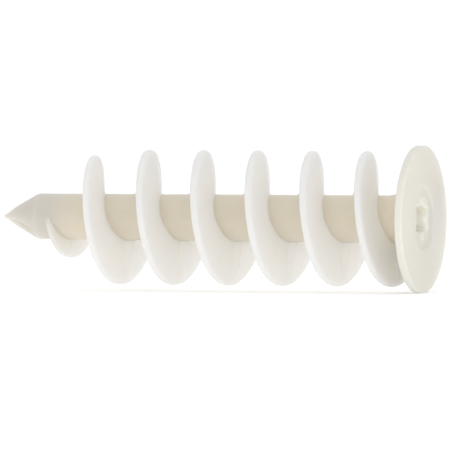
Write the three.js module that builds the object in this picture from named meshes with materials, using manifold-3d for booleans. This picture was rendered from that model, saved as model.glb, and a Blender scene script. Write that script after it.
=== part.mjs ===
// Self-drilling spiral wall anchor for insulation board, moulded in one shot from nylon.
// Millimetres, +Z up. The axis is X: the point looks towards -X and the head towards +X.
// The origin is the centre of the flange's rear face, where the head seats on the wall.
import * as THREE from "three";
import { mergeVertices } from "three/addons/utils/BufferGeometryUtils.js";
import Module from "manifold-3d";

// Overall sizes
const total_length = 90;
const flange_diameter = 29.8;
const flange_thickness = 1.5;
const flange_edge_chamfer = 0.15;
const flight_diameter = 27.44;
const flight_pitch = 11.62;

// Shank, from the point's shoulder to the neck
const shank_radius_at_point = 4.65;
const shank_radius_at_neck = 4.8;
const shank_nose_length = 9;
const screw_bore_radius_at_nose = 2.1;
const screw_bore_radius_at_neck = 2.5;

// Drill point: a 60 degree cone with two cutting lips, each with a flute ahead of it
const point_half_angle_deg = 30;
const point_tip_radius = 0.35;
const point_rear_land = 1.1;
const lip_angle_deg = 268;
const lip_proud = 0.28;
const lip_trail_deg = 40;
const flute_depth = 0.85;
const flute_width_deg = 72;
const flute_front_deg = 16;
const flute_narrowing = 0.85;
const flute_narrows_from = 0.5;
const flute_edge_share = 0.6;

// Neck behind the flange, which carries the six-lobe socket
const neck_length = 5.5;
const neck_radius_at_flange = 6.3;
const dish_depth = 0.45;
const dish_radius_at_face = 6.5;
const dish_radius_at_floor = 5.4;
const socket_depth = 5;
const socket_lobe_reach = 4.3;
const socket_lobe_radius = 0.75;
const socket_valley_reach = 3.2;

// Flight: one right-hand spiral blade from the lead-in to the back of the flange.
// The two halves of the mould part on the plane Y = 0 and pull away along Y, so on each
// half one flank is filled out behind the crest, with a step where the halves meet.
const flight_root_thickness = 2.4;
const flight_crest_thickness = 1.55;
const flight_crest_round = 0.4;
const flight_sink = 0.6;
const flank_fill = 0.7;
const crest_sway = 0.15;
const crest_swell = 0.15;
const parting_step_deg = 0.5;
const lead_in_deg = 480;
const lead_in_power = 2.4;
const lead_in_start_height = 0.3;
const lead_in_start_thickness = 0.6;
const first_crest_from_tip = 19.5;
const run_out_land = 0.3;

// Roundness
const round_segments = 36;
const point_segments = 72;
const arc_segments = 5;

// Places along the axis
const tip_x = flange_thickness - total_length;
const shank_drop = shank_radius_at_point - shank_radius_at_neck;
const cone_length = shank_radius_at_point / Math.tan(degrees(point_half_angle_deg));
const point_rear_x = tip_x + cone_length + point_rear_land;
const nose_rear_x = point_rear_x + shank_nose_length;
const neck_x = -neck_length;
const front_x = flange_thickness;
const dish_floor_x = front_x - dish_depth;
const socket_floor_x = dish_floor_x - socket_depth;
const flange_radius = flange_diameter / 2;
const crest_radius = flight_diameter / 2;

// Angles along the flight, in whole facets of the shank; 90 degrees is straight up
const facet_deg = 360 / round_segments;
const first_top_deg = 450;
const lead_in_start_deg = first_top_deg - 270;
const first_facet_deg = lead_in_start_deg + facet_deg;
const full_turns = Math.floor((neck_x - tip_x - first_crest_from_tip) / flight_pitch + 0.5);
const last_turn_deg = first_top_deg + 360 * full_turns;
const run_out_deg = angleAt(flight_crest_thickness / 2 - run_out_land);
const run_out_end_deg = Math.floor(run_out_deg / facet_deg) * facet_deg;

const wasm = await Module();
wasm.setup();

function degrees(angle) {
  return (angle * Math.PI) / 180;
}

function angleAt(x) {
  return first_top_deg + ((x - tip_x - first_crest_from_tip) * 360) / flight_pitch;
}

function flightX(angle_deg) {
  return tip_x + first_crest_from_tip + ((angle_deg - first_top_deg) * flight_pitch) / 360;
}

// The shank's radius at a place on the axis, carried on straight past both of its ends.
function shankRadius(x) {
  const along = (x - point_rear_x) / (neck_x - point_rear_x);
  return shank_radius_at_point - shank_drop * along;
}

function toSolid(geometry) {
  const bare = geometry.clone();
  bare.deleteAttribute("normal");
  bare.deleteAttribute("uv");
  const merged = mergeVertices(bare, 1e-4);
  return new wasm.Manifold(
    new wasm.Mesh({
      numProp: 3,
      vertProperties: new Float32Array(merged.attributes.position.array),
      triVerts: new Uint32Array(merged.index.array),
    }),
  );
}

function toGeometry(solid) {
  const mesh = solid.getMesh();
  const geometry = new THREE.BufferGeometry();
  const positions = new THREE.BufferAttribute(new Float32Array(mesh.vertProperties), 3);
  geometry.setAttribute("position", positions);
  geometry.setIndex(new THREE.BufferAttribute(new Uint32Array(mesh.triVerts), 1));
  return geometry;
}

// Turns a profile of [x, radius] pairs about the X axis.
function turned(profile, segments) {
  const points = profile.map(([x, radius]) => new THREE.Vector2(radius, x));
  const geometry = new THREE.LatheGeometry(points, segments);
  geometry.rotateZ(-Math.PI / 2);
  return geometry;
}

// Bends each vertex of a geometry to a new place.
function reshaped(geometry, place) {
  const positions = geometry.attributes.position;
  const vertex = new THREE.Vector3();
  for (let i = 0; i < positions.count; i += 1) {
    vertex.fromBufferAttribute(positions, i);
    place(vertex);
    positions.setXYZ(i, vertex.x, vertex.y, vertex.z);
  }
  return geometry;
}

function smooth(from, to, value) {
  return THREE.MathUtils.smoothstep(value, from, to);
}

// How far the point's surface stands off the plain cone: out at a lip, in at its flute.
function pointRelief(angle_deg, reach) {
  const ahead = (((lip_angle_deg - angle_deg) % 180) + 180) % 180;
  const behind = 180 - ahead;
  const lip_ahead = lip_proud * (1 - smooth(0, flute_front_deg / 2, ahead));
  const lip_behind = lip_proud * (1 - smooth(0, lip_trail_deg, behind));
  const along = (reach - flute_narrows_from) / (1 - flute_narrows_from);
  const narrowed = flute_narrowing * THREE.MathUtils.clamp(along, 0, 1) ** 2;
  const width_deg = flute_width_deg * (1 - narrowed);
  const front_deg = Math.min(flute_front_deg, width_deg / 2);
  const falling = smooth(0, front_deg, ahead);
  const rising = 1 - smooth(width_deg * flute_edge_share, width_deg, ahead);
  const flute = flute_depth * falling * rising;
  const fade_in = smooth(0.06, 0.35, reach);
  const fade_out = 1 - smooth(0.88, 1.04, reach);
  return (Math.max(lip_ahead, lip_behind) - flute) * fade_in * fade_out;
}

function drillPoint() {
  const half_angle = degrees(point_half_angle_deg);
  const profile = [[tip_x, 0]];
  for (let i = 1; i <= 3; i += 1) {
    const turn = ((Math.PI / 2 - half_angle) * i) / 3;
    profile.push([tip_x + point_tip_radius * (1 - Math.cos(turn)), point_tip_radius * Math.sin(turn)]);
  }
  const [round_x, round_radius] = profile[3];
  const steps = 12;
  for (let i = 1; i <= steps; i += 1) {
    const along = i / steps;
    const x = round_x + (tip_x + cone_length - round_x) * along;
    profile.push([x, round_radius + (shank_radius_at_point - round_radius) * along]);
  }
  profile.push([tip_x + cone_length + point_rear_land * 0.45, shank_radius_at_point]);
  profile.push([point_rear_x, shank_radius_at_point]);
  profile.push([point_rear_x, 0]);
  const cone = turned(profile, point_segments);
  return reshaped(cone, (vertex) => {
    const radius = Math.hypot(vertex.y, vertex.z);
    if (radius < 1e-6) return;
    const angle_deg = (Math.atan2(vertex.z, vertex.y) * 180) / Math.PI;
    const reach = (vertex.x - tip_x) / cone_length;
    const limit = Math.min(1, radius / (2 * flute_depth));
    const factor = 1 + (pointRelief(angle_deg, reach) * limit) / radius;
    vertex.y *= factor;
    vertex.z *= factor;
  });
}

function shankNose() {
  const profile = [
    [point_rear_x, 0],
    [point_rear_x, shankRadius(point_rear_x)],
    [nose_rear_x, shankRadius(nose_rear_x)],
    [nose_rear_x, 0],
  ];
  return turned(profile, round_segments);
}

function shankTube() {
  const profile = [
    [nose_rear_x, screw_bore_radius_at_nose],
    [nose_rear_x, shankRadius(nose_rear_x)],
    [neck_x, shankRadius(neck_x)],
    [neck_x, screw_bore_radius_at_neck],
    [nose_rear_x, screw_bore_radius_at_nose],
  ];
  return turned(profile, round_segments);
}

// The six-lobe recess: round lobes joined by round ribs, one lobe straight up.
function socketOutline() {
  const lobe_centre = socket_lobe_reach - socket_lobe_radius;
  const inset = socket_valley_reach - socket_lobe_radius;
  const half_step = Math.PI / 6;
  const spread = 2 * (lobe_centre * Math.cos(half_step) - inset);
  const rib_centre = (lobe_centre ** 2 - inset ** 2) / spread;
  const rib_radius = rib_centre - socket_valley_reach;
  const rise = rib_centre * Math.sin(half_step);
  const run = rib_centre * Math.cos(half_step) - lobe_centre;
  const swing = Math.atan2(rise, run);
  const rib_swing = swing - half_step;
  const outline = new THREE.Shape();
  for (let lobe = 0; lobe < 6; lobe += 1) {
    const middle = Math.PI / 2 + lobe * 2 * half_step;
    const x = lobe_centre * Math.cos(middle);
    const y = lobe_centre * Math.sin(middle);
    outline.absarc(x, y, socket_lobe_radius, middle - swing, middle + swing, false);
    const side = middle + half_step;
    const rib_x = rib_centre * Math.cos(side);
    const rib_y = rib_centre * Math.sin(side);
    const back = side + Math.PI;
    outline.absarc(rib_x, rib_y, rib_radius, back + rib_swing, back - rib_swing, true);
  }
  return outline;
}

function driveSocket() {
  const body = turned(
    [
      [neck_x, screw_bore_radius_at_neck],
      [neck_x, shankRadius(neck_x)],
      [0, neck_radius_at_flange],
      [0, dish_radius_at_floor],
      [dish_floor_x, dish_radius_at_floor],
      [dish_floor_x, screw_bore_radius_at_neck],
      [neck_x, screw_bore_radius_at_neck],
    ],
    round_segments,
  );
  const recess = new THREE.ExtrudeGeometry(socketOutline(), {
    depth: socket_depth + 1,
    bevelEnabled: false,
    curveSegments: arc_segments,
  });
  recess.rotateZ(Math.PI / 2);
  recess.rotateY(Math.PI / 2);
  recess.rotateX(Math.PI / 2);
  recess.translate(socket_floor_x, 0, 0);
  return toGeometry(toSolid(body).subtract(toSolid(recess)));
}

function flangeDisc() {
  const profile = [
    [0, dish_radius_at_floor],
    [0, flange_radius - flange_edge_chamfer],
    [flange_edge_chamfer, flange_radius],
    [front_x - flange_edge_chamfer, flange_radius],
    [front_x, flange_radius - flange_edge_chamfer],
    [front_x, dish_radius_at_face],
    [dish_floor_x, dish_radius_at_floor],
    [0, dish_radius_at_floor],
  ];
  return turned(profile, round_segments * 2);
}

// Everything the flight stands on: shank and neck, then a block from the flange's rear face forward.
function flightBase() {
  const block_front_x = front_x + flight_root_thickness;
  const profile = [
    [point_rear_x, 0],
    [point_rear_x, shankRadius(point_rear_x)],
    [neck_x, shankRadius(neck_x)],
    [0, neck_radius_at_flange],
    [0, flange_radius * 1.2],
    [block_front_x, flange_radius * 1.2],
    [block_front_x, 0],
  ];
  return toSolid(turned(profile, round_segments));
}

// The blade's section: x is along the axis, y runs from 0 at the root to 1 at the crest.
function bladeSection() {
  const blade_height = crest_radius - shank_radius_at_point;
  const root = flight_root_thickness / 2;
  const crest = flight_crest_thickness / 2;
  const shoulder = 1 - flight_crest_round / blade_height;
  const middle = (root + crest) / 2;
  const below = -flight_sink / blade_height;
  const section = new THREE.Shape();
  section.moveTo(-root, below);
  section.lineTo(root, below);
  section.lineTo(root, 0);
  section.lineTo(middle, shoulder / 2);
  section.lineTo(crest, shoulder);
  section.lineTo(crest - flight_crest_round, 1);
  section.lineTo(flight_crest_round - crest, 1);
  section.lineTo(-crest, shoulder);
  section.lineTo(-middle, shoulder / 2);
  section.lineTo(-root, 0);
  section.closePath();
  return section;
}

function leadIn(angle_deg) {
  return THREE.MathUtils.clamp((angle_deg - lead_in_start_deg) / lead_in_deg, 0, 1);
}

// The angles of the sections: one to a facet of the shank, and two where the halves part below.
function stationsBetween(start_deg, end_deg) {
  const stations = [];
  for (let angle_deg = start_deg; angle_deg <= end_deg; angle_deg += facet_deg) {
    const at_bottom = (angle_deg - 270) % 360 === 0;
    if (at_bottom && angle_deg > start_deg) stations.push(angle_deg - parting_step_deg / 2);
    if (at_bottom && angle_deg < end_deg) stations.push(angle_deg + parting_step_deg / 2);
    if (!at_bottom) stations.push(angle_deg);
  }
  return stations;
}

// How far a flank moves off the plain spiral so that its half of the mould can pull away.
function flankShift(angle_deg, radius, toward_head) {
  const from_pull_deg = ((angle_deg + 90) % 180) - 90;
  const filled = toward_head ? from_pull_deg < 0 : from_pull_deg > 0;
  if (!filled) return 0;
  const off_pull = degrees(Math.abs(from_pull_deg));
  const reach = Math.min(1, radius / crest_radius);
  const crest_off_pull = Math.asin(reach * Math.sin(off_pull));
  const shift = (flank_fill * (off_pull - crest_off_pull) * flight_pitch) / (2 * Math.PI);
  return toward_head ? shift : -shift;
}

// A stretch of the flight between two angles, wound out of a straight extrusion.
function flight(start_deg, end_deg) {
  const stations = stationsBetween(start_deg, end_deg);
  const straight = new THREE.ExtrudeGeometry(bladeSection(), {
    depth: stations.length - 1,
    steps: stations.length - 1,
    bevelEnabled: false,
  });
  const wound = reshaped(straight, (vertex) => {
    const angle_deg = stations[Math.round(vertex.z)];
    const inside_deg = THREE.MathUtils.clamp(angle_deg, start_deg + 0.01, end_deg - 0.01);
    const grown = leadIn(angle_deg);
    const start_share = lead_in_start_height / crest_radius;
    const height_share = start_share + (1 - start_share) * (1 - (1 - grown) ** lead_in_power);
    const thickness_share = lead_in_start_thickness + (1 - lead_in_start_thickness) * grown;
    const angle = degrees(angle_deg);
    const plain_x = flightX(angle_deg) + vertex.x * thickness_share;
    const root_radius = shankRadius(plain_x);
    const crest = root_radius + (crest_radius - root_radius) * height_share;
    const sunk = vertex.y < 0;
    const above = sunk ? 0 : vertex.y;
    const radius = THREE.MathUtils.lerp(root_radius, crest, above);
    const toward_head = vertex.x > 0;
    const swell = (crest_sway + (toward_head ? crest_swell : 0)) * above * Math.sin(angle);
    const shift = flankShift(inside_deg, (radius * crest_radius) / crest, toward_head) * height_share;
    const final_radius = sunk ? root_radius - flight_sink : radius;
    vertex.set(plain_x + swell + shift, final_radius * Math.cos(angle), final_radius * Math.sin(angle));
  });
  return toGeometry(toSolid(wound).subtract(flightBase()));
}

const group = new THREE.Group();
group.name = "wall_anchor";

function add(name, geometry) {
  const material = new THREE.MeshStandardMaterial({ color: 0xe4e0d2, roughness: 0.45, metalness: 0 });
  const mesh = new THREE.Mesh(geometry, material);
  mesh.name = name;
  group.add(mesh);
}

add("drill_point", drillPoint());
add("shank_nose", shankNose());
add("shank_tube", shankTube());
add("drive_socket", driveSocket());
add("flange_disc", flangeDisc());
add("flight_lead_in", flight(first_facet_deg, first_top_deg));
for (let turn = 1; turn <= full_turns; turn += 1) {
  const start_deg = first_top_deg + 360 * (turn - 1);
  add(`flight_turn_${turn}`, flight(start_deg, start_deg + 360));
}
add("flight_run_out", flight(last_turn_deg, run_out_end_deg));

export default group;
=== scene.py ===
import math

import bmesh
import bpy
import numpy as np
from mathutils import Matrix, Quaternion, Vector


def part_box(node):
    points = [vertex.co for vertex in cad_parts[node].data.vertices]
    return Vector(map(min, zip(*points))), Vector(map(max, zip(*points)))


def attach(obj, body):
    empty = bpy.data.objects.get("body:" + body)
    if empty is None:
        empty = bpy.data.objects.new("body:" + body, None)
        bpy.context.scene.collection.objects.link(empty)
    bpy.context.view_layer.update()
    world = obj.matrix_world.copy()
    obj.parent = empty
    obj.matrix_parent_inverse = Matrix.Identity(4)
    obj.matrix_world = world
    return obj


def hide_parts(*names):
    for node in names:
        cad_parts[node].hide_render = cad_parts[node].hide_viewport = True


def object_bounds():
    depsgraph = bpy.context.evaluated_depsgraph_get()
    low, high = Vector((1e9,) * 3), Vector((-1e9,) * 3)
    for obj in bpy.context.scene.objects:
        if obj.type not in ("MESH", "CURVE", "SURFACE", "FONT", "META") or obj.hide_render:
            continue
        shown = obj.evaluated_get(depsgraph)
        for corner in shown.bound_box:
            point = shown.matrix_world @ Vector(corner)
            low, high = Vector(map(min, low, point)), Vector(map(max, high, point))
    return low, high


# A spiral wall anchor, moulded in one shot from natural nylon. Its axis is X: the point looks towards
# -X, the flange's rear face is at X = 0, and +Z is up.
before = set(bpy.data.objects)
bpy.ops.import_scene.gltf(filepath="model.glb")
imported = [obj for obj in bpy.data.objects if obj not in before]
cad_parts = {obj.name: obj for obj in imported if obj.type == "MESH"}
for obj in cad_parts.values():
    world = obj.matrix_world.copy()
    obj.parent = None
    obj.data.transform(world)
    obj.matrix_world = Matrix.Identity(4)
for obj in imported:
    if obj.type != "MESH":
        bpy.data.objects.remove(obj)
cad_lo, cad_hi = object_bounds()

MM = 0.001


def span(node, axis):
    """A CAD node's lowest and highest place along one axis, in millimetres."""
    lo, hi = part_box(node)
    return lo[axis] / MM, hi[axis] / MM


# ---------------------------------------------------------------- sizes, in millimetres and degrees
# Places and radii that the frame gives
TIP = span("drill_point", 0)[0]
POINT_REAR = span("drill_point", 0)[1]
NECK = span("drive_socket", 0)[0]
FRONT = span("flange_disc", 0)[1]
BORE_END = span("shank_tube", 0)[0]
SHANK_R_NECK = span("shank_tube", 2)[1]
NECK_R = span("drive_socket", 2)[1]
FLANGE_R = span("flange_disc", 2)[1]
CREST_R = span("flight_turn_3", 2)[1]

# Drill point: a cone with two cutting lips, each with a flute ahead of it. Where they start and
# stop, and where a flute narrows from, are shares of the cone's length.
SHANK_R_POINT = 4.65
POINT_HALF_ANGLE = math.radians(30)
CONE = SHANK_R_POINT / math.tan(POINT_HALF_ANGLE)
TIP_R = 0.35
LIP_DEG = 268.0
LIP_PROUD = 0.28
LIP_TRAIL = 40.0
FLUTE_DEPTH = 0.85
FLUTE_WIDTH = 72.0
FLUTE_FRONT = 16.0
FLUTE_NARROWING = 0.85
FLUTE_NARROWS_FROM = 0.5
FLUTE_EDGE_SHARE = 0.6
RELIEF_STARTS = (0.06, 0.35)
RELIEF_STOPS = (0.88, 1.04)

# Spiral: FIRST_TOP is the middle of the blade where it is first straight up
ROOT_HALF = 1.2
PITCH = span("flight_turn_4", 0)[0] - span("flight_turn_3", 0)[0]
FIRST_TOP = span("flight_turn_3", 0)[0] + ROOT_HALF - 2 * PITCH
FIRST_TOP_DEG = 450.0
CREST_HALF = 0.775
CREST_ROUND = 0.68
CREST_SWAY = 0.15
CREST_SWELL = 0.15
SWELL_FULL_AT = 0.6
CREST_SUPPORT = 0.6
FLANK_FILL = 0.7
FLANK_SLOPE = 2.0
ROOT_FILLET = 0.45
LEAD_START_DEG = 180.0
LEAD_DEG = 480.0
LEAD_POWER = 2.4
LEAD_THICKNESS = 0.6

# Flange with its dish, the six-lobe socket in the dish and the screw bore behind it.
# Each pair in SOCKET_MOUTH_EASE is a depth below the dish's floor and how much wider the lobes are.
FLANGE_REAR = 0.0
NECK_FLARE = 1.15
FLANGE_EDGE = 0.14
DISH_FLOOR = FRONT - 0.45
DISH_R = 6.5
DISH_LIP = 0.16
DISH_LIP_OUT = 0.6
DISH_LIP_TURN = 60.0
DISH_FLOOR_R = 5.4
SOCKET_FLOOR = DISH_FLOOR - 5.0
SOCKET_LIP = 0.15
SOCKET_MOUTH_EASE = [(0.0, 0.16), (0.04, 0.06), (SOCKET_LIP, 0.0)]
SOCKET_DRAFT = 0.08
SOCKET_FLOOR_EASE = 0.2
SOCKET_FLOOR_FALL = 0.05
LOBE_REACH = 4.3
LOBE_R = 0.75
VALLEY_REACH = 3.2
BORE_R_NECK = 2.5
BORE_R_NOSE = 2.1
BORE_CHAMFER = 0.35
BORE_CONE = 1.2

# How finely the surface is divided
TIP_STEPS = 4
CONE_STEPS = 44
SHOULDER_STEPS = 5
CORNER_STEPS = 6
FLANK_STEPS = 6
SHANK_STEPS = 5
EDGE_STEPS = 5
DISH_LIP_STEPS = 4
SOCKET_STEPS = 5
BORE_STEPS = 6
FACE_RINGS = (13.0, 11.0, 9.0, 7.6)
WELD = 0.0008
SHARP_DEG = 35.0

# The columns' angles: even, but for one on each side of each line where the mould's halves part
COLUMNS = 216
PARTING_STEP = 3.0
PARTING_CLEAR = 0.1
EVEN = np.arange(COLUMNS + 1) * 360.0 / COLUMNS
SPLIT = [90 - PARTING_STEP, 90 + PARTING_STEP, 270 - PARTING_STEP, 270 + PARTING_STEP]
PLAIN = EVEN[np.minimum(np.abs(EVEN - 90), np.abs(EVEN - 270)) > PARTING_STEP + PARTING_CLEAR]
ANGLES = np.sort(np.concatenate([PLAIN, SPLIT]))


def smooth(a, b, v):
    t = np.clip((v - a) / (b - a), 0, 1)
    return t * t * (3 - 2 * t)


# ---------------------------------------------------------------- shapes as radius against angle
def point_relief(deg, reach):
    """How far the point stands off its plain cone: out at a lip, in at the flute ahead of it."""
    ahead = np.mod(LIP_DEG - deg, 180.0)
    behind = 180.0 - ahead
    lip = np.maximum(1 - smooth(0, FLUTE_FRONT / 2, ahead), 1 - smooth(0, LIP_TRAIL, behind))
    along = min(1.0, max(0.0, (reach - FLUTE_NARROWS_FROM) / (1 - FLUTE_NARROWS_FROM)))
    width = FLUTE_WIDTH * (1 - FLUTE_NARROWING * along ** 2)
    falling = smooth(0, min(FLUTE_FRONT, width / 2), ahead)
    rising = 1 - smooth(FLUTE_EDGE_SHARE * width, width, ahead)
    fade = smooth(*RELIEF_STARTS, reach) * (1 - smooth(*RELIEF_STOPS, reach))
    return (LIP_PROUD * lip - FLUTE_DEPTH * (falling * rising)) * fade


def base_radius(x):
    """The shank and the neck, without the spiral."""
    shank = SHANK_R_POINT + (SHANK_R_NECK - SHANK_R_POINT) * (x - POINT_REAR) / (NECK - POINT_REAR)
    t = np.clip((x - NECK) / (FLANGE_REAR - NECK), 0, 1)
    cone = SHANK_R_NECK + (NECK_R - SHANK_R_NECK) * t ** NECK_FLARE
    return np.where(x > NECK, cone, shank)


def blade_profile():
    """Half of the blade's section as (offset from its middle, share of its height)."""
    height = CREST_R - SHANK_R_POINT
    flat = CREST_HALF - CREST_ROUND
    swing = 90 - FLANK_SLOPE
    points = [(0.0, 1.0), (flat * CREST_SUPPORT, 1.0)]
    for i in range(CORNER_STEPS + 1):
        t = math.radians(90 - swing * i / CORNER_STEPS)
        drop = CREST_ROUND - CREST_ROUND * math.sin(t)
        points.append((flat + CREST_ROUND * math.cos(t), 1 - drop / height))
    top = points[-1]
    foot = (ROOT_HALF, ROOT_FILLET / height)
    for i in range(1, FLANK_STEPS):
        t = i / FLANK_STEPS
        points.append((top[0] + (foot[0] - top[0]) * t, top[1] + (foot[1] - top[1]) * t))
    for i in range(CORNER_STEPS + 1):
        t = math.radians(FLANK_SLOPE + swing * i / CORNER_STEPS)
        rise = ROOT_FILLET * (1 - math.sin(t)) / height
        points.append((ROOT_HALF + ROOT_FILLET * (1 - math.cos(t)), rise))
    start = points[-1][0]
    for i in range(1, SHANK_STEPS + 1):
        points.append((start + (PITCH / 2 - start) * i / SHANK_STEPS, 0.0))
    return points


def blade_middle(deg):
    return FIRST_TOP + (deg - FIRST_TOP_DEG) * PITCH / 360


def parting_lean(radius):
    """How far a flank is filled out behind the crest so that its half of the mould can pull away
    along Y, and which flank it is: +1 for the one towards the head, -1 for the other."""
    from_pull = np.mod(ANGLES + 90, 180) - 90
    off_pull = np.radians(np.abs(from_pull))
    reach = np.minimum(1, radius / CREST_R)
    lean = off_pull - np.arcsin(reach * np.sin(off_pull))
    return FLANK_FILL * lean * PITCH / (2 * math.pi), np.where(from_pull < 0, 1, -1)


def blade_row(turn, offset, share):
    """One row of the spiral: its places along the axis and its radii, by column."""
    deg = ANGLES + 360 * turn
    upward = np.sin(np.radians(deg))
    grown = np.clip((deg - LEAD_START_DEG) / LEAD_DEG, 0, 1)
    height = 1 - (1 - grown) ** LEAD_POWER
    thickness = LEAD_THICKNESS + (1 - LEAD_THICKNESS) * grown
    base = base_radius(blade_middle(deg) + offset)
    radius = base + share * height * (CREST_R - base)
    middle = blade_middle(deg) + CREST_SWAY * share * upward
    if offset == 0:
        return middle, radius
    flank = 1 if offset > 0 else -1
    away = abs(offset)
    foot = ROOT_HALF + ROOT_FILLET
    lean, leaning = parting_lean(base + share * (CREST_R - base))
    if away <= foot:
        shift = np.where(leaning == flank, lean * height, 0.0)
        swell = CREST_SWELL * share * min(1, away / SWELL_FULL_AT) * upward if flank > 0 else 0
        reach = away * thickness + shift * min(1, away / CREST_HALF) + swell
    else:
        root_lean = np.where(leaning == flank, parting_lean(base)[0] * height, 0.0)
        near = foot * thickness + root_lean
        reach = near + (away - foot) / (PITCH / 2 - foot) * (PITCH / 2 - near)
    return middle + flank * reach, radius


def star_radius(deg, ease):
    """The six-lobe outline, with one lobe straight up; ease widens it."""
    half_step = math.pi / 6
    centre = LOBE_REACH - LOBE_R
    inset = VALLEY_REACH - LOBE_R
    rib = (centre ** 2 - inset ** 2) / (2 * (centre * math.cos(half_step) - inset))
    swing = math.atan2(rib / 2, rib * math.cos(half_step) - centre)
    meet = math.atan2(LOBE_R * math.sin(swing), centre + LOBE_R * math.cos(swing))
    from_lobe = np.mod(deg - 90 + 30, 60) - 30
    off = np.abs(np.radians(from_lobe))
    lobe_r = LOBE_R + ease
    rib_r = rib - VALLEY_REACH - ease
    on_lobe = centre * np.cos(off) + np.sqrt(np.maximum(lobe_r ** 2 - (centre * np.sin(off)) ** 2, 0))
    side = half_step - off
    on_rib = rib * np.cos(side) - np.sqrt(np.maximum(rib_r ** 2 - (rib * np.sin(side)) ** 2, 0))
    return np.where(off <= meet, on_lobe, on_rib)


# ---------------------------------------------------------------- the skin, row by row
def ring(x, radius):
    r = np.broadcast_to(radius, ANGLES.shape)
    a = np.radians(ANGLES)
    return np.stack([np.full_like(a, x), r * np.cos(a), r * np.sin(a)], axis=1)


def star_ring(x, ease):
    return ring(x, star_radius(ANGLES, ease))


def point_rows():
    """The drill point, from its rounded tip to the rear of its shoulder."""
    rows = [ring(TIP, 0.0)]
    cap = math.pi / 2 - POINT_HALF_ANGLE
    for i in range(1, TIP_STEPS + 1):
        t = cap * i / TIP_STEPS
        rows.append(ring(TIP + TIP_R * (1 - math.cos(t)), TIP_R * math.sin(t)))
    x0 = TIP + TIP_R * (1 - math.cos(cap))
    r0 = TIP_R * math.sin(cap)
    for i in range(1, CONE_STEPS + 1):
        x = x0 + (TIP + CONE - x0) * i / CONE_STEPS
        r = r0 + (SHANK_R_POINT - r0) * i / CONE_STEPS
        relief = point_relief(ANGLES, (x - TIP) / CONE) * min(1, r / (2 * FLUTE_DEPTH))
        rows.append(ring(x, r + relief))
    for i in range(1, SHOULDER_STEPS):
        x = TIP + CONE + (POINT_REAR - TIP - CONE) * i / SHOULDER_STEPS
        relief = point_relief(ANGLES, (x - TIP) / CONE)
        rows.append(ring(x, SHANK_R_POINT + relief))
    return rows


def flight_rows():
    """The shank with its spiral, from the point's shoulder to the flange."""
    half = blade_profile()
    profile = [(-offset, share) for offset, share in reversed(half)] + half[1:]
    first = math.floor((POINT_REAR - blade_middle(360)) / PITCH) - 1
    last = math.ceil((FLANGE_REAR - blade_middle(0)) / PITCH) + 1
    turns = range(first, last + 1)
    places = [blade_row(turn, offset, share) for turn in turns for offset, share in profile[:-1]]
    xs = np.maximum.accumulate(np.array([x for x, radius in places]), axis=0)
    radii = np.array([radius for x, radius in places])
    at_flange = np.array([np.interp(FLANGE_REAR, xs[:, c], radii[:, c]) for c in range(len(ANGLES))])
    a = np.radians(ANGLES)
    rows = []
    for x, radius in zip(xs, radii):
        before_flange = np.where(x > FLANGE_REAR, at_flange, radius)
        r = np.where(x < POINT_REAR, SHANK_R_POINT, before_flange)
        rows.append(np.stack([np.clip(x, POINT_REAR, FLANGE_REAR), r * np.cos(a), r * np.sin(a)], axis=1))
    return rows


def flange_rows(rear):
    """Out over the flange's rear face from the last row of the neck, round its edge and in to the dish."""
    inner = np.hypot(rear[:, 1], rear[:, 2])
    rim = FLANGE_R - FLANGE_EDGE
    rows = [ring(FLANGE_REAR, inner + (rim - inner) * t) for t in (0.25, 0.5, 0.75)]
    quarter = [math.radians(90 * i / EDGE_STEPS) for i in range(EDGE_STEPS + 1)]
    for t in quarter:
        rows.append(ring(FLANGE_EDGE * (1 - math.cos(t)), rim + FLANGE_EDGE * math.sin(t)))
    for t in quarter:
        rows.append(ring(FRONT - FLANGE_EDGE * (1 - math.sin(t)), rim + FLANGE_EDGE * math.cos(t)))
    rows += [ring(FRONT, r) for r in FACE_RINGS]
    for i in range(DISH_LIP_STEPS + 1):
        t = math.radians(DISH_LIP_TURN * i / DISH_LIP_STEPS)
        r = DISH_R + DISH_LIP * (DISH_LIP_OUT - math.sin(t))
        rows.append(ring(FRONT - DISH_LIP * (1 - math.cos(t)), r))
    wall_foot = [(FRONT - 0.32, 0.42), (DISH_FLOOR + 0.02, 0.06), (DISH_FLOOR, -0.12)]
    return rows + [ring(x, DISH_FLOOR_R + past_floor) for x, past_floor in wall_foot]


def socket_rows():
    """The six-lobe recess from the dish's floor down, and the screw bore behind it."""
    rows = [star_ring(DISH_FLOOR - depth, ease) for depth, ease in SOCKET_MOUTH_EASE]
    top, floor = DISH_FLOOR - SOCKET_LIP, SOCKET_FLOOR + SOCKET_LIP
    for i in range(1, SOCKET_STEPS + 1):
        rows.append(star_ring(top + (floor - top) * i / SOCKET_STEPS, -SOCKET_DRAFT * i / SOCKET_STEPS))
    rows.append(star_ring(SOCKET_FLOOR, -SOCKET_FLOOR_EASE))
    bore_mouth = SOCKET_FLOOR - SOCKET_FLOOR_FALL
    rows.append(ring(bore_mouth, BORE_R_NECK + BORE_CHAMFER))
    bore_top = bore_mouth - BORE_CHAMFER
    for i in range(BORE_STEPS + 1):
        t = i / BORE_STEPS
        rows.append(ring(bore_top + (BORE_END - bore_top) * t, BORE_R_NECK + (BORE_R_NOSE - BORE_R_NECK) * t))
    rows.append(ring(BORE_END - BORE_CONE, 0.0))
    return rows


def moulding_rows():
    rows = point_rows() + flight_rows()
    return rows + flange_rows(rows[-1]) + socket_rows()


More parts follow.
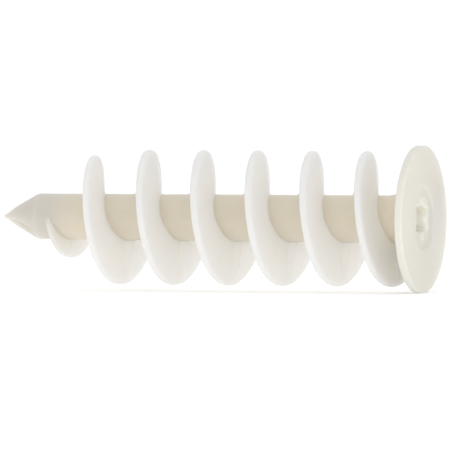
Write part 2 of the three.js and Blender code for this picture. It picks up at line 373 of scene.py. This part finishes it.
def skin(name, rows):
    """One closed mesh through a list of rows of points; rows on the axis close its ends."""
    grid = np.array(rows) * MM
    count, width = grid.shape[:2]
    index = np.arange(count * width).reshape(count, width)
    corners = [index[:-1, :-1], index[:-1, 1:], index[1:, 1:], index[1:, :-1]]
    quads = np.stack(corners, axis=-1).reshape(-1, 4)
    mesh = bpy.data.meshes.new(name)
    mesh.from_pydata(grid.reshape(-1, 3).tolist(), [], quads.tolist())
    bm = bmesh.new()
    bm.from_mesh(mesh)
    bmesh.ops.remove_doubles(bm, verts=bm.verts, dist=WELD * MM)
    bmesh.ops.dissolve_degenerate(bm, edges=bm.edges, dist=WELD * MM)
    bmesh.ops.recalc_face_normals(bm, faces=bm.faces)
    bm.to_mesh(mesh)
    bm.free()
    mesh.shade_smooth()
    mesh.set_sharp_from_angle(angle=math.radians(SHARP_DEG))
    obj = bpy.data.objects.new(name, mesh)
    bpy.context.scene.collection.objects.link(obj)
    return obj


# ---------------------------------------------------------------- materials
# One nylon in several colours. The blade colour is paler with painted back light shining through the thin
# blades. The shank colour is the nylon's own tan with painted shade between the blades.
BLADE_PAINTED_BACKLIGHT_COLOUR = (0.925, 0.90, 0.865)
SHANK_TAN_AND_SHADE_COLOUR = (0.785, 0.72, 0.60)
# Painted shade: the point is painted darker, for the dimmer light at the part's end
POINT_PAINTED_SHADE_COLOUR = (0.68, 0.655, 0.60)
# Painted shade: the flange and the blade's end next to it are painted darker, for the weaker light from the
# head's side
FLANGE_PAINTED_SHADE_COLOUR = (0.75, 0.725, 0.655)
# Painted light: the socket's walls are painted pale, standing in for light that shines into the socket
RECESS_PAINTED_LIGHT_COLOUR = (0.985, 0.94, 0.83)
SCATTER_RADIUS = (1.0, 0.93, 0.82)
SCATTER_SCALE = 0.004
CLOUD_SCALE = 260.0
CLOUD_RANGE = (0.3, 0.7)
CLOUD_DEPTH = 0.07
ROUGHNESS_RANGE = (0.34, 0.5)
GRAIN_SCALE = 3200.0
GRAIN_STRENGTH = 0.12
GRAIN_HEIGHT = 0.03

# Where one colour gives way to the next: heights above the shank, places along the axis, and radii
BLADE_BACKLIGHT_RISE = (0.16, 0.01)
POINT_SHADE_SPAN = (TIP + 19, TIP + 8)
FLANGE_SHADE_SPAN = (FLANGE_REAR - 1.2, FLANGE_REAR)
RECESS_R = (4.4, 4.55)
RECESS_MOUTH = (DISH_FLOOR - 0.05, DISH_FLOOR - 0.2)
RECESS_END = (NECK - 1, NECK)

# The floor is a light table: it sends some light up under the part.
FLOOR_GLOW = 0.25
FLOOR_TONES = (0.97, 0.99)
FLOOR_HALF_WIDTH = 40.0


class Graph:
    """A node tree, with short ways to add the nodes that the materials and the tent are made of."""

    def __init__(self, tree):
        self.nodes = tree.nodes
        self.links = tree.links

    def node(self, kind, **inputs):
        """A node with its inputs, named with _ for a space, set to numbers or joined to outputs."""
        made = self.nodes.new(kind)
        for name, value in inputs.items():
            self.feed(made.inputs[name.replace("_", " ")], value)
        return made

    def feed(self, socket, value):
        if isinstance(value, bpy.types.NodeSocket):
            self.links.new(value, socket)
        else:
            socket.default_value = value

    def calc(self, operation, *values):
        made = self.nodes.new("ShaderNodeMath")
        made.operation = operation
        for socket, value in zip(made.inputs, values):
            self.feed(socket, value)
        return made.outputs[0]

    def ranged(self, value, low, high, at_low, at_high, shape="LINEAR"):
        """Runs from at_low to at_high while value runs from low to high, and stays level outside them."""
        made = self.node("ShaderNodeMapRange", Value=value, From_Min=low, From_Max=high)
        made.interpolation_type = shape
        made.inputs["To Min"].default_value = at_low
        made.inputs["To Max"].default_value = at_high
        return made.outputs[0]

    def rising(self, along, x0, x1):
        """Rises smoothly from 0 to 1 between two sizes in millimetres, or falls if they are backwards."""
        ends = (0.0, 1.0) if x0 < x1 else (1.0, 0.0)
        return self.ranged(along, min(x0, x1) * MM, max(x0, x1) * MM, *ends, "SMOOTHSTEP")

    def ramp(self, value, low_colour, high_colour):
        made = self.node("ShaderNodeValToRGB", Fac=value)
        made.color_ramp.elements[0].color = (*low_colour, 1)
        made.color_ramp.elements[1].color = (*high_colour, 1)
        return made.outputs[0]

    def tinted(self, colour, tint, share):
        made = self.nodes.new("ShaderNodeMix")
        made.data_type = "RGBA"
        self.links.new(share, made.inputs[0])
        self.links.new(colour, made.inputs[6])
        made.inputs[7].default_value = (*tint, 1)
        return made.outputs[2]


def new_material(name):
    """A material with its graph and its shader."""
    mat = bpy.data.materials.new(name)
    mat.use_nodes = True
    return mat, Graph(mat.node_tree), mat.node_tree.nodes["Principled BSDF"]


def shank_tan_and_shade_share(graph, along, radius):
    """1 on the shank and the neck, and 0 on the blade that stands on them. The shank gets the nylon's own tan
    with painted shade between the blades. The blade gets a paler colour that is painted back light shining
    through it.
    """
    steady = (SHANK_R_POINT * MM, SHANK_R_NECK * MM)
    shank = graph.ranged(along, POINT_REAR * MM, NECK * MM, *steady)
    neck = graph.ranged(along, NECK * MM, FLANGE_REAR, 0.0, (NECK_R - SHANK_R_NECK) * MM)
    above = graph.calc("SUBTRACT", radius, graph.calc("ADD", shank, neck))
    return graph.rising(above, *BLADE_BACKLIGHT_RISE)


def recess_painted_light_share(graph, along, radius):
    """1 on the walls of the six-lobe recess, which are painted pale as painted light shining into the socket.
    """
    inner = graph.ranged(radius, RECESS_R[0] * MM, RECESS_R[1] * MM, 1.0, 0.0)
    under_dish = graph.rising(along, *RECESS_MOUTH)
    before_shank = graph.rising(along, *RECESS_END)
    return graph.calc("MULTIPLY", inner, graph.calc("MULTIPLY", under_dish, before_shank))


def nylon():
    """Natural nylon: milky, tan where it is thick, paler where it is thin. The paler thin blades are painted
    back light. The shank's tan carries painted shade between the blades. The point and the flange are painted
    shade, and the socket's walls are painted light.
    """
    mat, graph, shader = new_material("nylon_with_painted_light")
    shader.inputs["Subsurface Weight"].default_value = 1.0
    shader.inputs["Subsurface Radius"].default_value = SCATTER_RADIUS
    shader.inputs["Subsurface Scale"].default_value = SCATTER_SCALE
    shader.inputs["IOR"].default_value = 1.5
    shader.inputs["Specular IOR Level"].default_value = 0.4
    point = graph.node("ShaderNodeTexCoord").outputs["Object"]
    along, y, z = graph.node("ShaderNodeSeparateXYZ", Vector=point).outputs
    square = graph.calc("ADD", graph.calc("MULTIPLY", y, y), graph.calc("MULTIPLY", z, z))
    radius = graph.calc("SQRT", square)

    noise = graph.node("ShaderNodeTexNoise", Vector=point, Scale=CLOUD_SCALE, Detail=3.0, Roughness=0.55)
    cloud = noise.outputs["Fac"]
    clouded = graph.ranged(cloud, *CLOUD_RANGE, -CLOUD_DEPTH, CLOUD_DEPTH)
    # Tan where the nylon is thick, with painted shade on the shank and painted back light on the blades; the
    # cloud is the nylon's own uneven tone
    thick = graph.calc("ADD", shank_tan_and_shade_share(graph, along, radius), clouded)
    colour = graph.ramp(thick, BLADE_PAINTED_BACKLIGHT_COLOUR, SHANK_TAN_AND_SHADE_COLOUR)
    # painted shade towards the point
    colour = graph.tinted(colour, POINT_PAINTED_SHADE_COLOUR, graph.rising(along, *POINT_SHADE_SPAN))
    # painted shade on the flange
    colour = graph.tinted(colour, FLANGE_PAINTED_SHADE_COLOUR, graph.rising(along, *FLANGE_SHADE_SPAN))
    # painted light on the socket's walls
    colour = graph.tinted(colour, RECESS_PAINTED_LIGHT_COLOUR, recess_painted_light_share(graph, along, radius))
    graph.feed(shader.inputs["Base Color"], colour)
    graph.feed(shader.inputs["Roughness"], graph.ranged(cloud, 0.0, 1.0, *ROUGHNESS_RANGE))

    grain = graph.node("ShaderNodeTexNoise", Vector=point, Scale=GRAIN_SCALE, Detail=4.0).outputs["Fac"]
    bump = graph.node("ShaderNodeBump", Strength=GRAIN_STRENGTH, Distance=GRAIN_HEIGHT * MM, Height=grain)
    graph.feed(shader.inputs["Normal"], bump.outputs[0])
    return mat


def floor_material():
    mat, graph, shader = new_material("pale_floor")
    shader.inputs["Roughness"].default_value = 0.9
    shader.inputs["Specular IOR Level"].default_value = 0.0
    shader.inputs["Emission Color"].default_value = (1, 1, 1, 1)
    shader.inputs["Emission Strength"].default_value = FLOOR_GLOW
    noise = graph.node("ShaderNodeTexNoise", Scale=3.0).outputs["Fac"]
    low, high = FLOOR_TONES
    graph.feed(shader.inputs["Base Color"], graph.ramp(noise, (low, low, low), (high, high, high)))
    return mat


# ---------------------------------------------------------------- floor, light and camera
CENTRE = Vector(((cad_lo.x + cad_hi.x) / 2, 0, 0))
SOCKET_MOUTH = Vector((FRONT * MM, 0, 0))
LIGHT_DISTANCE = 0.5

# The studio is a bright tent, a little stronger towards TENT_LEAN and weaker past the part's two ends.
TENT_LEVEL = 0.8
TENT_LEAN = (0.03, 0.06, 0.17)
TENT_END_DROP = 0.34

AZIMUTH, ELEVATION, ROLL = 18.81, 1.05, 0.12
FRAME_WIDTH = 91.22 * MM
AIM_RIGHT, AIM_DOWN = 2.41, 1.476
DISTANCE = 3.0
SENSOR = 36.0


def place(name, data):
    """Puts new data in the scene as an object that turns by quaternion."""
    obj = bpy.data.objects.new(name, data)
    obj.rotation_mode = "QUATERNION"
    bpy.context.scene.collection.objects.link(obj)
    return obj


def light_from(name, data, target, direction):
    """Hangs a light in one direction from its target, and points it there."""
    way = Vector(direction).normalized()
    light = place(name, data)
    light.location = target + way * LIGHT_DISTANCE
    light.rotation_quaternion = way.to_track_quat("Z", "Y")


def add_floor():
    r = FLOOR_HALF_WIDTH
    mesh = bpy.data.meshes.new("floor")
    mesh.from_pydata([(-r, -r, 0), (r, -r, 0), (r, r, 0), (-r, r, 0)], [], [(0, 1, 2, 3)])
    mesh.materials.append(floor_material())
    floor = place("floor", mesh)
    floor.location.z = cad_lo.z


def add_lights():
    """A soft light in front, and a narrow one that reaches into the socket."""
    front = bpy.data.lights.new("front", "AREA")
    front.shape = "DISK"
    front.size = 0.2
    front.energy = 0.1
    light_from("front", front, CENTRE, (0.34, -0.94, 0.06))
    snoot = bpy.data.lights.new("snoot", "SPOT")
    snoot.energy = 2.5
    snoot.spot_size = math.radians(1.7)
    snoot.spot_blend = 0.5
    snoot.shadow_soft_size = 0.01
    light_from("snoot", snoot, SOCKET_MOUTH, (0.36, -0.93, 0.05))


def add_tent():
    """The world: the tent as the part sees it, and plain white behind the part."""
    world = bpy.data.worlds.new("studio")
    bpy.context.scene.world = world
    world.use_nodes = True
    graph = Graph(world.node_tree)
    direction = graph.node("ShaderNodeTexCoord").outputs["Generated"]
    lean = graph.nodes.new("ShaderNodeVectorMath")
    lean.operation = "DOT_PRODUCT"
    graph.feed(lean.inputs[0], direction)
    lean.inputs[1].default_value = TENT_LEAN
    level = graph.calc("ADD", lean.outputs["Value"], TENT_LEVEL)
    x = graph.node("ShaderNodeSeparateXYZ", Vector=direction).outputs[0]
    tent = graph.calc("MULTIPLY_ADD", graph.calc("MULTIPLY", x, x), -TENT_END_DROP, level)
    seen = graph.node("ShaderNodeLightPath").outputs["Is Camera Ray"]
    choose = graph.nodes.new("ShaderNodeMix")
    graph.feed(choose.inputs[0], seen)
    graph.feed(choose.inputs[2], tent)
    choose.inputs[3].default_value = 1.0
    background = graph.nodes["Background"]
    background.inputs["Color"].default_value = (1, 1, 1, 1)
    graph.feed(background.inputs["Strength"], choose.outputs[0])


def add_camera():
    a, e = math.radians(AZIMUTH), math.radians(ELEVATION)
    back = Vector((math.sin(a) * math.cos(e), -math.cos(a) * math.cos(e), math.sin(e)))
    turn = (-back).to_track_quat("-Z", "Y")
    right = turn @ Vector((1, 0, 0))
    up = turn @ Vector((0, 1, 0))
    aim = CENTRE + right * AIM_RIGHT * MM - up * AIM_DOWN * MM
    data = bpy.data.cameras.new("camera")
    data.sensor_width = SENSOR
    data.lens = SENSOR * DISTANCE / FRAME_WIDTH
    data.clip_start, data.clip_end = 0.1, 200.0
    camera = place("camera", data)
    camera.location = aim + back * DISTANCE
    camera.rotation_quaternion = turn @ Quaternion((0, 0, 1), math.radians(ROLL))
    bpy.context.scene.camera = camera


# ---------------------------------------------------------------- the object and its scene
flights = ["flight_lead_in", "flight_run_out"] + [f"flight_turn_{i}" for i in range(1, 6)]
body = skin("moulded_body", moulding_rows())
body.data.materials.append(nylon())
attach(body, "root")
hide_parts("drill_point", "shank_nose", "shank_tube", "drive_socket", "flange_disc", *flights)

add_floor()
add_lights()
add_tent()
add_camera()
bpy.context.scene.view_settings.view_transform = "Standard"
